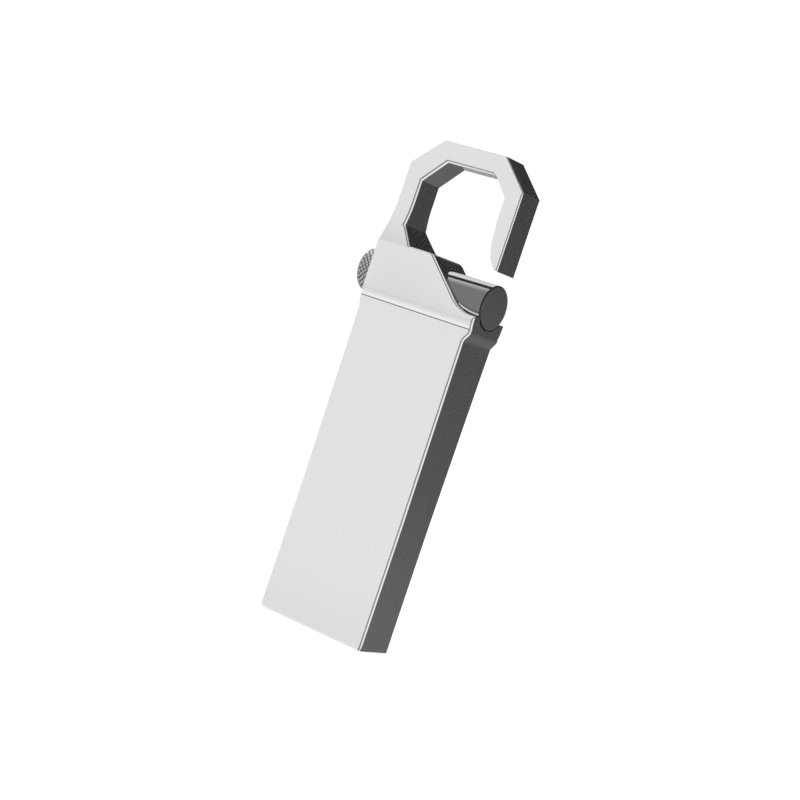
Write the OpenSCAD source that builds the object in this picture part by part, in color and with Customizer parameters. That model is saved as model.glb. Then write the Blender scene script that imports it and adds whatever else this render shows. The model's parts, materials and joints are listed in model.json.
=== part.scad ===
// Pocket flash drive: a cast bar whose lower end is the plug and whose upper end is a snap hook.
// A sprung barrel across the head closes the hook and is drawn back by the knurled knob.
// X runs along the barrel, -Y is the plain front face, +Z runs from the plug mouth to the hook.
// The origin is the middle of the plug mouth.

/* [Plug] */
// width of the plug shell across X
plug_w = 12; // [11.9:0.05:12.1]
// thickness of the plug shell across Y
plug_t = 4.5; // [4.45:0.05:4.6]
// wall of the plug shell
plug_wall = 0.3; // [0.25:0.05:0.35]
// depth of the plug cavity
cavity_l = 28; // [26:0.1:28.4]
// length of the straight bar below the head
bar_l = 29; // [28.8:0.1:29.2]
// length of the bar that keeps the plug's thickness
plug_l = 12; // [12:0.5:14]
// thickness of the bar where it meets the head
bar_t = 5; // [4.6:0.1:5]

/* [Head] */
// width of the head and of the hook
head_w = 12.7; // [12.5:0.1:12.9]
// distance from the middle of the bar to the right side of the head
head_right = 6.45; // [6.3:0.05:6.5]
// thickness of the head around the barrel
head_t = 5.2; // [5.2:0.1:5.6]
// height of the low right corner that cradles the barrel
cradle_z = 31.5; // [31.3:0.1:31.7]
// height of the roof over the barrel
roof_z = 35.7; // [35.5:0.1:36]

/* [Hook] */
// thickness of the hook
hook_t = 3.2; // [2.6:0.1:3.4]
// overall height
hook_top = 45.9; // [45.5:0.1:46.5]
// height of the top of the hook opening
eye_top = 44; // [43.6:0.1:44.2]
// height of the open tip of the hook
tip_z = 35.85; // [35.7:0.05:36.2]
// width of the inner side of the right leg at its top
leg_x = 4.75; // [4.5:0.05:5]

/* [Gate] */
// height of the barrel's axis
gate_z = 32.7; // [32.6:0.05:32.8]
// diameter of the polished barrel
barrel_d = 4.2; // [4:0.05:4.2]
// diametral clearance of the barrel in its bore
bore_fit = 0.1; // [0.06:0.02:0.12]
// diameter of the knurled knob
knob_d = 4.1; // [3.7:0.05:4.1]
// how far the knob stands out on the left
knob_out = 1.75; // [1:0.05:2.5]
// travel of the gate
gate_travel = 3.1; // [2:0.1:3.1]
// wire of the return spring
spring_wire = 0.28; // [0.2:0.02:0.3]
// turns of the return spring
spring_turns = 5; // [3:1:5]

/* [Memory module] */
// width of the module
module_w = 11.3; // [11:0.1:11.3]
// length of the module
module_l = 24.8; // [22:0.2:25]
// thickness of the board
board_t = 0.3; // [0.2:0.05:0.35]
// thickness of the moulding under the board
mould_t = 1.05; // [0.95:0.05:1.1]
// thickness of the contact plating
contact_t = 0.03; // [0.02:0.01:0.05]

/* [Hidden] */

$fn = 96;
eps = 0.01;
big = 60;

left_x = head_right - head_w;
half_t = head_t / 2;
cavity_w = plug_w - 2 * plug_wall;
cavity_t = plug_t - 2 * plug_wall;
cavity_r = 0.3;

// module stack, counted along +Y from the front wall of the cavity
wall_y = -cavity_t / 2;
carrier_t = 0.55;
pad_t = 0.05;
mould_y = wall_y + carrier_t + pad_t;
board_y = mould_y + mould_t;
contact_y = board_y + board_t;
module_z = 0.35;
fit_gap = 0.02;

// components inside the moulding hang from the board towards the front
die_t = 0.12;
film_t = 0.02;
flash_w = 9.6;
flash_l = 8.4;
flash_z = module_z + 13.4;
flash_shift = 0.7;
ctrl_w = 2.6;
ctrl_x = -2.6;
ctrl_z = module_z + 8.2;
wire_d = 0.06;
wire_rise = 0.16;

// gate layout along X at rest
web_x0 = -4.4;
web_x1 = -3.6;
barrel_r = barrel_d / 2;
bore_r = (barrel_d + bore_fit) / 2;
barrel_x1 = head_right + 0.05;
skirt_x = web_x1 + gate_travel + 0.1;
pocket_x = skirt_x + 1.8;
pocket_r = barrel_r - 0.35;
rim = 0.1;
stem_r = 1.15;
web_hole_r = 1.25;
seat_r = 0.85;
seat_x = web_x0 - 2.2;
knob_x0 = left_x - knob_out;
knob_x1 = web_x0 - fit_gap;
knob_r = knob_d / 2;
knob_bore_r = knob_r + 0.1;
screw_r = 0.48;
screw_head_r = 1.1;
screw_head_t = 0.6;
screw_x = knob_x0 + 0.15;
screw_end = web_x0 - 0.9;
washer_t = 0.2;
spring_r = (stem_r + pocket_r) / 2;

// eased step from 0 to 1, and outline points between two corners that follow it
function ease(t) = (1 - cos(180 * t)) / 2;
function s_curve(a, b, n) = [for (i = [0:n]) [a[0] + (b[0] - a[0]) * ease(i / n), a[1] + (b[1] - a[1]) * i / n]];
function arc(cx, cz, rx, rz, a0, a1, n) =
    [for (i = [0:n]) let (a = a0 + (a1 - a0) * i / n) [cx + rx * cos(a), cz + rz * sin(a)]];

// front outline of the bar, the head and the spine, as [x, z]
flare_z = bar_l + 1;
sweep_rx = 4.9;
sweep_rz = 7;
roof_r = 0.9;
roof_end_x = -0.35;
spine_x = -4.42;
outline_head = concat(
    [[-plug_w / 2, 0], [plug_w / 2, 0]],
    s_curve([plug_w / 2, bar_l], [head_right, flare_z], 8),
    [[head_right, cradle_z]],
    arc(head_right - 0.35, cradle_z + sweep_rz, sweep_rx, sweep_rz, 270, 238, 16),
    arc(roof_end_x, roof_z - roof_r, roof_r, roof_r, 48, 90, 8),
    [[-2.75, roof_z], [spine_x, roof_z + 1.8], [spine_x, roof_z + 4.6]],
    [[left_x, roof_z + 4.6]],
    s_curve([left_x, flare_z], [-plug_w / 2, bar_l], 8)
);

// side outline of the bar, the head and the spine, as [y, z], right half upward; above the crease it
// swells from a shallow dip, and above the roof it draws in to the hook, both fast at first and then slower
crease_z = bar_l + 1.25;
dip = 0.05;
dip_z = bar_l + 0.35;
swell_l = 0.85;
swell_power = 2.3;
spine_z0 = 35.5;
spine_z1 = 39.6;
spine_power = 1.76;
function fading_curve(a, b, power, n) =
    [for (i = [0:n]) [b[0] + (a[0] - b[0]) * pow(1 - i / n, power), a[1] + (b[1] - a[1]) * i / n]];
side_half = concat(
    [[plug_t / 2, -eps], [plug_t / 2, plug_l], [bar_t / 2, dip_z]],
    fading_curve([bar_t / 2 - dip, crease_z], [half_t, crease_z + swell_l], swell_power, 8),
    fading_curve([half_t, spine_z0], [hook_t / 2, spine_z1], spine_power, 16),
    [[hook_t / 2, big]]
);
side_n = len(side_half);
outline_side = concat(side_half, [for (i = [side_n - 1:-1:0]) [-side_half[i][0], side_half[i][1]]]);

// front outline of the octagonal hook
corner_z = hook_top - 2.7;
outline_hook = concat(
    [[left_x, spine_z1], [spine_x, spine_z1]],
    [[spine_x, eye_top - 2.2], [spine_x + 2.1, eye_top], [3.15, eye_top], [leg_x, eye_top - 1.75]],
    [[leg_x, 40.2]],
    arc(head_right, 39.4, head_right - leg_x - 0.1, 39.4 - tip_z, 180, 257, 14),
    [[head_right, tip_z], [head_right, corner_z], [3.6, hook_top], [-3.35, hook_top]],
    [[left_x, corner_z]]
);

// a 2D outline in X and Z made solid over a thickness centred on Y
module along_y(outline, t) {
    translate([0, t / 2, 0])
        rotate([90, 0, 0])
            linear_extrude(height = t)
                polygon(outline);
}

// a cylinder along X between two stations, on the gate's axis
module x_rod(x0, x1, r) {
    translate([x0, 0, gate_z])
        rotate([0, 90, 0])
            cylinder(h = x1 - x0, r = r);
}

// a ring or sleeve along X, turned about the gate's axis from [radius, x] points
module x_turned(profile) {
    translate([0, 0, gate_z])
        rotate([0, 90, 0])
            rotate_extrude()
                polygon(profile);
}

module rounded_rect(w, t, r) {
    square([w - 2 * r, t], center = true);
    square([w, t - 2 * r], center = true);
    for (sx = [-1, 1], sy = [-1, 1])
        translate([sx * (w / 2 - r), sy * (t / 2 - r)])
            circle(r = r, $fn = 32);
}

module block(x0, x1, y0, y1, z0, z1) {
    translate([x0, y0, z0])
        cube([x1 - x0, y1 - y0, z1 - z0]);
}

module hook_body() {
    color([0.82, 0.82, 0.83])
        difference() {
            union() {
                intersection() {
                    along_y(outline_head, 2 * head_t);
                    rotate([90, 0, 90])
                        linear_extrude(height = 2 * head_w, center = true)
                            polygon(outline_side);
                }
                along_y(outline_hook, hook_t);
            }
            translate([0, 0, -1])
                linear_extrude(height = cavity_l + 1)
                    rounded_rect(cavity_w, cavity_t, cavity_r);
            x_rod(web_x1, big, bore_r);
            x_rod(-big, web_x0, knob_bore_r);
            x_rod(-big, big, web_hole_r);
        }
}

// plastic tray: plate, stop block behind the module and two rear ribs, trimmed to the plug's corners
module plug_carrier() {
    half = module_w / 2;
    stop_z = module_z + module_l + 0.1;
    rib_w = 1;
    pocket_w = 1.6;
    color([0.06, 0.06, 0.07])
        difference() {
            intersection() {
                union() {
                    block(-half, half, wall_y, wall_y + carrier_t, 0.25, cavity_l - 0.1);
                    block(-half + 0.4, half - 0.4, wall_y, contact_y, stop_z, stop_z + 1.1);
                    for (s = [-1, 1])
                        translate([s * (half - 1.4), 0, 0])
                            block(-rib_w / 2, rib_w / 2, wall_y, -wall_y - 0.05, stop_z, cavity_l - 0.1);
                }
                linear_extrude(height = cavity_l)
                    rounded_rect(cavity_w - 2 * fit_gap, cavity_t, cavity_r);
            }
            for (i = [-1:1])
                translate([i * 3.2, 0, 0])
                    block(-pocket_w / 2, pocket_w / 2, wall_y - 1, wall_y + carrier_t - 0.3, 9, 21);
        }
}

module adhesive_pad() {
    color([0.75, 0.72, 0.6])
        block(-4.6, 4.6, mould_y - pad_t, mould_y, module_z + 2, module_z + module_l - 2);
}

module epoxy_mould() {
    half = module_w / 2;
    color([0.1, 0.1, 0.11])
        difference() {
            block(-half, half, mould_y, board_y, module_z, module_z + module_l);
            controller_die();
            flash_die_lower();
            flash_die_upper();
            die_attach_films();
            capacitors();
            resistors();
            bond_wires();
        }
}

module module_board() {
    half = module_w / 2;
    color([0.05, 0.3, 0.16])
        block(-half, half, board_y, contact_y, module_z, module_z + module_l);
}

// supply and ground are the long outer pads, data the short inner pair
module contact_pads() {
    color([0.85, 0.68, 0.3])
        for (i = [-1.5:1:1.5])
            let (outer = abs(i) > 1, x = i < 0 ? (outer ? -3.5 : -1.1) : (outer ? 3.5 : 1.1))
                block(x - 0.75, x + 0.75, contact_y, contact_y + contact_t,
                      module_z + (outer ? 0.9 : 1.9), module_z + 8.9);
}

module test_pads() {
    color([0.85, 0.68, 0.3])
        for (i = [-3:3], k = [0, 1])
            translate([i * 1.35, contact_y, module_z + 13 + k * 2])
                rotate([-90, 0, 0])
                    cylinder(h = contact_t, r = 0.4, $fn = 32);
}

module controller_die() {
    color([0.35, 0.36, 0.4])
        block(ctrl_x - ctrl_w / 2, ctrl_x + ctrl_w / 2, board_y - film_t - die_t, board_y - film_t,
              ctrl_z, ctrl_z + ctrl_w);
}

module flash_die(level) {
    y1 = board_y - film_t - level * (die_t + film_t);
    z0 = flash_z + level * flash_shift;
    block(-flash_w / 2, flash_w / 2, y1 - die_t, y1, z0, z0 + flash_l);
}

module flash_die_lower() {
    color([0.4, 0.38, 0.42])
        flash_die(0);
}

module flash_die_upper() {
    color([0.45, 0.42, 0.46])
        flash_die(1);
}

module die_attach_films() {
    color([0.8, 0.75, 0.4]) {
        block(ctrl_x - ctrl_w / 2, ctrl_x + ctrl_w / 2, board_y - film_t, board_y, ctrl_z, ctrl_z + ctrl_w);
        block(-flash_w / 2, flash_w / 2, board_y - film_t, board_y, flash_z, flash_z + flash_l);
        block(-flash_w / 2, flash_w / 2, board_y - 2 * film_t - die_t, board_y - film_t - die_t,
              flash_z + flash_shift, flash_z + flash_l);
    }
}

module chip_part(x, z, t) {
    block(x - 0.25, x + 0.25, board_y - t, board_y, z, z + 1);
}

module capacitors() {
    color([0.6, 0.48, 0.35])
        for (p = [[1.2, 8.2], [2.4, 8.2], [3.6, 8.2], [4.8, 8.2], [1.2, 10.1]])
            chip_part(p[0], module_z + p[1], 0.5);
}

module resistors() {
    color([0.08, 0.08, 0.09])
        for (p = [[2.4, 10.1], [3.6, 10.1], [4.8, 10.1]])
            chip_part(p[0], module_z + p[1], 0.35);
}

// one square-drawn gold wire from the board, over and down onto a die whose face lies at that depth
module wire(x, z0, run, depth) {
    r = wire_d / 2;
    top = depth + wire_rise;
    z1 = z0 + run;
    block(x - r, x + r, board_y - top, board_y, z0 - r, z0 + r);
    block(x - r, x + r, board_y - top, board_y - depth, z1 - r, z1 + r);
    block(x - r, x + r, board_y - top - wire_d, board_y - top, min(z0, z1) - r, max(z0, z1) + r);
}

module bond_wires() {
    color([0.9, 0.72, 0.3]) {
        for (i = [-3:3])
            wire(i * 1.2, flash_z - 0.35, 0.6, film_t + die_t);
        for (i = [-3:3])
            wire(i * 1.2 + 0.5, flash_z + flash_l + flash_shift + 0.35, -0.6, 2 * (film_t + die_t));
        for (i = [-1:1])
            wire(ctrl_x + i * 0.8, ctrl_z + ctrl_w + 0.35, -0.6, film_t + die_t);
        for (i = [-1:1])
            wire(ctrl_x + i * 0.8, ctrl_z - 0.35, 0.6, film_t + die_t);
    }
}

// polished barrel with its spring pocket, stem and knob seat, turned from one bar
module gate_barrel() {
    color([0.6, 0.6, 0.62])
        difference() {
            x_turned([
                [0, barrel_x1], [barrel_r - rim, barrel_x1], [barrel_r, barrel_x1 - rim], [barrel_r, skirt_x],
                [pocket_r, skirt_x], [pocket_r, pocket_x], [stem_r, pocket_x], [stem_r, knob_x1],
                [seat_r, knob_x1], [seat_r, seat_x], [0, seat_x]
            ]);
            x_rod(seat_x - 1, screw_end + 0.1, screw_r + 0.01);
        }
}

module knurled_knob() {
    c = 0.25;
    color([0.7, 0.7, 0.71])
        difference() {
            x_turned([
                [0, knob_x0], [knob_r - c, knob_x0], [knob_r, knob_x0 + c], [knob_r, knob_x1 - c],
                [knob_r - c, knob_x1], [0, knob_x1]
            ]);
            x_rod(seat_x, knob_x1 + 1, seat_r + 0.01);
            x_rod(knob_x0 - 1, knob_x1, screw_r + 0.05);
            x_rod(knob_x0 - 1, screw_x + screw_head_t, screw_head_r + 0.05);
        }
}

module knob_screw() {
    slot = 0.3;
    color([0.55, 0.55, 0.57])
        difference() {
            x_turned([
                [0, screw_x], [screw_head_r - 0.1, screw_x], [screw_head_r, screw_x + 0.1],
                [screw_head_r, screw_x + screw_head_t], [screw_r, screw_x + screw_head_t],
                [screw_r, screw_end], [0, screw_end]
            ]);
            translate([0, 0, gate_z])
                block(screw_x - 1, screw_x + 0.3, -2, 2, -slot / 2, slot / 2);
        }
}

// helix along X whose first and last turns lie closed, one ring of points every few degrees
spring_x0 = web_x1 + spring_wire / 2 + eps;
spring_x1 = pocket_x - washer_t - spring_wire / 2 - eps;
spring_l = spring_x1 - spring_x0;
coil_steps = 24;
coil_sides = 8;
closed_turns = 1;
closed_l = closed_turns * (spring_wire + eps);
open_turns = spring_turns - 2 * closed_turns;
function coil_x(t) =
    t < closed_turns ? t / closed_turns * closed_l
    : t > spring_turns - closed_turns ? spring_l - (spring_turns - t) / closed_turns * closed_l
    : closed_l + (t - closed_turns) / open_turns * (spring_l - 2 * closed_l);
function coil_point(t, s) = let (
        q = 360 * s / coil_sides,
        r = spring_r + spring_wire / 2 * cos(q),
        x = spring_x0 + coil_x(t) + spring_wire / 2 * sin(q)
    ) [x, r * cos(360 * t), gate_z + r * sin(360 * t)];

module return_spring() {
    n = spring_turns * coil_steps;
    m = coil_sides;
    points = [for (i = [0:n], s = [0:m - 1]) coil_point(i / coil_steps, s)];
    sides = [for (i = [0:n - 1], s = [0:m - 1])
        [i * m + s, (i + 1) * m + s, (i + 1) * m + (s + 1) % m, i * m + (s + 1) % m]];
    color([0.75, 0.75, 0.77])
        polyhedron(points, concat(sides, [[for (s = [0:m - 1]) s], [for (s = [m - 1:-1:0]) n * m + s]]));
}

module thrust_washer() {
    color([0.75, 0.62, 0.35])
        x_turned([
            [stem_r + 0.05, pocket_x - washer_t], [pocket_r - 0.05, pocket_x - washer_t],
            [pocket_r - 0.05, pocket_x - eps], [stem_r + 0.05, pocket_x - eps]
        ]);
}

hook_body();
plug_carrier();
adhesive_pad();
epoxy_mould();
module_board();
contact_pads();
test_pads();
controller_die();
flash_die_lower();
flash_die_upper();
die_attach_films();
capacitors();
resistors();
bond_wires();
gate_barrel();
knurled_knob();
knob_screw();
return_spring();
thrust_washer();
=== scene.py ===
"""Looks, light and camera for a capless flash drive whose casting ends in a snap hook."""
import json
import math

import bmesh
import bpy
import numpy as np
from mathutils import Matrix, Vector
from mathutils.geometry import delaunay_2d_cdt


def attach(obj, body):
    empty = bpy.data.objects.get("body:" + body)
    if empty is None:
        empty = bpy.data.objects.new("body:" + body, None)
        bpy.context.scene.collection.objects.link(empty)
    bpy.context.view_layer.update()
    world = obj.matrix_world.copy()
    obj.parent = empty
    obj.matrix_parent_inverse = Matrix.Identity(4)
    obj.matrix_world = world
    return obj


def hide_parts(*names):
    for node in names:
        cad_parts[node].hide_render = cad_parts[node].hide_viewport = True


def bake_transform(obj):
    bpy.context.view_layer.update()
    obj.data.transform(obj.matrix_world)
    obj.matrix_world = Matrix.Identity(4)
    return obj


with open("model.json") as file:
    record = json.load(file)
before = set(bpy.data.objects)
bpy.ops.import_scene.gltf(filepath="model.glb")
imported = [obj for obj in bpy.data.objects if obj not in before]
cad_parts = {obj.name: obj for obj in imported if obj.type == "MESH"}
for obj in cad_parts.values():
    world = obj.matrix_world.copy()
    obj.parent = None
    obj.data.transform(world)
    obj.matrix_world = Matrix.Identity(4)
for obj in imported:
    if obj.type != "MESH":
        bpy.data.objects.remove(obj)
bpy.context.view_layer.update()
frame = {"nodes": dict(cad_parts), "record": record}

MM = 0.001
GATE_Z = 32.7
NODES = frame["nodes"]


# ---------------------------------------------------------------- camera

def make_camera():
    """A long lens a little above the middle of the drive, off its right front corner, rolled."""
    eye = Vector((99.06, -145.45, 29.24)) * MM
    aim = Vector((0.072, -0.12, 22.186)) * MM
    roll = math.radians(18.59)
    data = bpy.data.cameras.new("camera")
    data.lens = 86.93
    data.sensor_width = 36
    data.clip_start = 0.01
    data.clip_end = 20
    camera = bpy.data.objects.new("camera", data)
    level = (aim - eye).to_track_quat("-Z", "Y").to_matrix()
    camera.matrix_world = Matrix.Translation(eye) @ (level @ Matrix.Rotation(roll, 3, "Z")).to_4x4()
    bpy.context.scene.collection.objects.link(camera)
    bpy.context.scene.camera = camera


# ---------------------------------------------------------------- node helpers

def tree_of(material_name):
    """A new material with only an output and a Principled shader.

    Returns the material, its nodes, its links and the shader.
    """
    material = bpy.data.materials.new(material_name)
    material.use_nodes = True
    tree = material.node_tree
    tree.nodes.clear()
    out = tree.nodes.new("ShaderNodeOutputMaterial")
    shader = tree.nodes.new("ShaderNodeBsdfPrincipled")
    tree.links.new(shader.outputs["BSDF"], out.inputs["Surface"])
    return material, tree.nodes, tree.links, shader


def new_group(name, inputs, outputs):
    """An empty shader group; inputs and outputs are (socket name, socket type, default or None)."""
    tree = bpy.data.node_groups.new(name, "ShaderNodeTree")
    for label, kind, default in inputs:
        socket = tree.interface.new_socket(name=label, in_out="INPUT", socket_type=kind)
        if default is not None:
            socket.default_value = default
    for label, kind, _ in outputs:
        tree.interface.new_socket(name=label, in_out="OUTPUT", socket_type=kind)
    start = tree.nodes.new("NodeGroupInput")
    end = tree.nodes.new("NodeGroupOutput")
    return tree, start, end


def math_node(tree, operation, a, b=None, c=None):
    """A Math node whose operands are sockets or numbers; returns its output."""
    node = tree.nodes.new("ShaderNodeMath")
    node.operation = operation
    for slot, value in enumerate((a, b, c)):
        if value is None:
            continue
        if isinstance(value, (int, float)):
            node.inputs[slot].default_value = value
        else:
            tree.links.new(value, node.inputs[slot])
    return node.outputs[0]


def stretched_noise(tree, scale, squash, detail=4.0, vector=None):
    """Noise on Object coordinates, in cycles a metre, with each axis scaled by squash; returns its value."""
    if vector is None:
        vector = tree.nodes.new("ShaderNodeTexCoord").outputs["Object"]
    mapping = tree.nodes.new("ShaderNodeMapping")
    mapping.inputs["Scale"].default_value = squash
    noise = tree.nodes.new("ShaderNodeTexNoise")
    noise.inputs["Detail"].default_value = detail
    tree.links.new(vector, mapping.inputs["Vector"])
    tree.links.new(mapping.outputs["Vector"], noise.inputs["Vector"])
    if isinstance(scale, (int, float)):
        noise.inputs["Scale"].default_value = scale
    else:
        tree.links.new(scale, noise.inputs["Scale"])
    return noise.outputs["Fac"]


def thin_line(tree, noise, level, width):
    """1 where a noise is within width of a level, which draws thin winding lines, and 0 elsewhere."""
    gap = math_node(tree, "ABSOLUTE", math_node(tree, "SUBTRACT", noise, level))
    return math_node(tree, "LESS_THAN", gap, width)


# ---------------------------------------------------------------- shared effects

def handling_group():
    """Soft smears and hairline scratches of a much handled metal face: a roughness value and a height."""
    tree, start, end = new_group(
        "handling_marks",
        [("Roughness", "NodeSocketFloat", 0.25), ("Smear", "NodeSocketFloat", 0.06),
         ("Scratch", "NodeSocketFloat", 0.5)],
        [("Roughness", "NodeSocketFloat", None), ("Height", "NodeSocketFloat", None)])
    smear = stretched_noise(tree, 160.0, (1.0, 1.0, 0.6), 3.0)
    grain = stretched_noise(tree, 9000.0, (1.0, 1.0, 1.0), 2.0)
    hair_a = stretched_noise(tree, 700.0, (6.0, 6.0, 0.35), 2.0)
    hair_b = stretched_noise(tree, 500.0, (0.5, 0.5, 7.0), 2.0)
    thin_a, thin_b = thin_line(tree, hair_a, 0.63, 0.004), thin_line(tree, hair_b, 0.66, 0.003)
    lines = math_node(tree, "MULTIPLY", math_node(tree, "MAXIMUM", thin_a, thin_b), start.outputs["Scratch"])
    soft = math_node(tree, "MULTIPLY", math_node(tree, "SUBTRACT", smear, 0.5), start.outputs["Smear"])
    rough = math_node(tree, "ADD", math_node(tree, "ADD", start.outputs["Roughness"], soft),
                      math_node(tree, "MULTIPLY", lines, 0.08))
    height = math_node(tree, "SUBTRACT", math_node(tree, "MULTIPLY", grain, 0.5), lines)
    tree.links.new(rough, end.inputs["Roughness"])
    tree.links.new(height, end.inputs["Height"])
    return tree


def turning_group():
    """Fine lathe rings about the barrel's axis: noise of x plus the radius, so faces have them too."""
    tree, start, end = new_group(
        "turning_rings",
        [("Roughness", "NodeSocketFloat", 0.15), ("Pitch", "NodeSocketFloat", 9000.0),
         ("Depth", "NodeSocketFloat", 0.4)],
        [("Roughness", "NodeSocketFloat", None), ("Height", "NodeSocketFloat", None)])
    place = tree.nodes.new("ShaderNodeSeparateXYZ")
    tree.links.new(tree.nodes.new("ShaderNodeTexCoord").outputs["Object"], place.inputs[0])
    height = math_node(tree, "SUBTRACT", place.outputs["Z"], GATE_Z * MM)
    square = math_node(tree, "ADD", math_node(tree, "MULTIPLY", height, height),
                       math_node(tree, "MULTIPLY", place.outputs["Y"], place.outputs["Y"]))
    line = tree.nodes.new("ShaderNodeCombineXYZ")
    radius = math_node(tree, "SQRT", square)
    tree.links.new(math_node(tree, "ADD", place.outputs["X"], radius), line.inputs["X"])
    rings = stretched_noise(tree, start.outputs["Pitch"], (1.0, 1.0, 1.0), 2.0, line.outputs[0])
    blotch = stretched_noise(tree, 400.0, (1.0, 1.0, 1.0), 3.0)
    rough = math_node(tree, "ADD", start.outputs["Roughness"],
                      math_node(tree, "MULTIPLY", math_node(tree, "SUBTRACT", blotch, 0.5), 0.08))
    tree.links.new(rough, end.inputs["Roughness"])
    tree.links.new(math_node(tree, "MULTIPLY", rings, start.outputs["Depth"]), end.inputs["Height"])
    return tree


def grain_group():
    """Spark-eroded mould texture of plastic and moulding compound: a roughness value and a height."""
    tree, start, end = new_group(
        "mould_grain",
        [("Roughness", "NodeSocketFloat", 0.6), ("Scale", "NodeSocketFloat", 14000.0)],
        [("Roughness", "NodeSocketFloat", None), ("Height", "NodeSocketFloat", None)])
    pits = stretched_noise(tree, start.outputs["Scale"], (1.0, 1.0, 1.0), 3.0)
    rough = math_node(tree, "ADD", start.outputs["Roughness"],
                      math_node(tree, "MULTIPLY", math_node(tree, "SUBTRACT", pits, 0.5), 0.2))
    tree.links.new(rough, end.inputs["Roughness"])
    tree.links.new(pits, end.inputs["Height"])
    return tree


EFFECTS = {"handling": handling_group(), "turning": turning_group(), "grain": grain_group()}


def finish_with(material_parts, effect, bump, distance, **values):
    """Places an effect group in a material, feeds its roughness and, through a Bump, its height."""
    material, nodes, links, shader = material_parts
    group = nodes.new("ShaderNodeGroup")
    group.node_tree = EFFECTS[effect]
    for label, value in values.items():
        group.inputs[label].default_value = value
    links.new(group.outputs["Roughness"], shader.inputs["Roughness"])
    relief = nodes.new("ShaderNodeBump")
    relief.inputs["Strength"].default_value = bump
    relief.inputs["Distance"].default_value = distance
    links.new(group.outputs["Height"], relief.inputs["Height"])
    links.new(relief.outputs["Normal"], shader.inputs["Normal"])
    return material


# ---------------------------------------------------------------- materials

def shader_of(tree):
    """The tree's one Principled shader."""
    return next(node for node in tree.nodes if node.type == "BSDF_PRINCIPLED")


def metal(name, colour, effect, bump, distance, **values):
    """A metal with one of the shared effects; values go to the effect's own inputs."""
    parts = tree_of(name)
    parts[3].inputs["Base Color"].default_value = (*colour, 1)
    parts[3].inputs["Metallic"].default_value = 1
    return finish_with(parts, effect, bump, distance, **values)


def solid(name, colour, effect, bump, distance, coat=0.0, **values):
    """A plastic, ceramic or semiconductor with one of the shared effects, and a clear coat if asked."""
    parts = tree_of(name)
    parts[3].inputs["Base Color"].default_value = (*colour, 1)
    parts[3].inputs["Coat Weight"].default_value = coat
    return finish_with(parts, effect, bump, distance, **values)


def paint_shade_where(material, colour, deep, mask):
    """Paints shade: mixes a material's base colour towards deep, the colour of the painted shade, by a mask
    socket made by mask(material's tree).
    """
    tree = material.node_tree
    shader = shader_of(tree)
    mix = tree.nodes.new("ShaderNodeMix")
    mix.data_type = "RGBA"
    mix.inputs["A"].default_value = (*colour, 1)
    mix.inputs["B"].default_value = (*deep, 1)
    tree.links.new(mask(tree), mix.inputs["Factor"])
    tree.links.new(mix.outputs["Result"], shader.inputs["Base Color"])


def mesh_value(tree, name):
    """A face or point value that a piece's mesh carries."""
    value = tree.nodes.new("ShaderNodeAttribute")
    value.attribute_name = name
    return value.outputs["Fac"]


def painted_shade_mask(tree):
    """The mesh's own value, recess, for where shade is painted: dark lines in creases, the foot and walls of
    steps, and grooves.
    """
    return mesh_value(tree, "recess")


def scaled_by_painted_light(material):
    """Paints light and shade: scales a material's base colour by one plus the mesh's own value of painted
    highlight and painted shade.
    """
    tree = material.node_tree
    shader = shader_of(tree)
    colour = shader.inputs["Base Color"].links[0].from_socket
    scale = tree.nodes.new("ShaderNodeVectorMath")
    scale.operation = "SCALE"
    tree.links.new(colour, scale.inputs[0])
    tree.links.new(math_node(tree, "ADD", mesh_value(tree, "painted_light"), 1.0), scale.inputs["Scale"])
    tree.links.new(scale.outputs["Vector"], shader.inputs["Base Color"])


def painted_tones_along_x(material, start, stop, tones):
    """Paints light and shade in steps: gives a material base colours that step along X between two stations;
    tones are (station, grey).
    """
    tree = material.node_tree
    shader = shader_of(tree)
    place = tree.nodes.new("ShaderNodeSeparateXYZ")
    tree.links.new(tree.nodes.new("ShaderNodeTexCoord").outputs["Object"], place.inputs[0])
    ramp = tree.nodes.new("ShaderNodeValToRGB")
    ramp.color_ramp.interpolation = "CONSTANT"
    for number, (station, grey) in enumerate(tones):
        at = (station - start) / (stop - start)
        stops = ramp.color_ramp.elements
        mark = stops[number] if number < 2 else stops.new(at)
        mark.position = at
        mark.color = (grey, grey, 1.02 * grey, 1)
    past = math_node(tree, "SUBTRACT", place.outputs["X"], start * MM)
    share = math_node(tree, "DIVIDE", past, (stop - start) * MM)
    tree.links.new(share, ramp.inputs["Fac"])
    tree.links.new(ramp.outputs["Color"], shader.inputs["Base Color"])


ZINC_GREY = (0.68, 0.68, 0.69)
BARREL_GREY = (0.155, 0.155, 0.16)
KNURL_GREY = (0.42, 0.42, 0.43)

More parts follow.
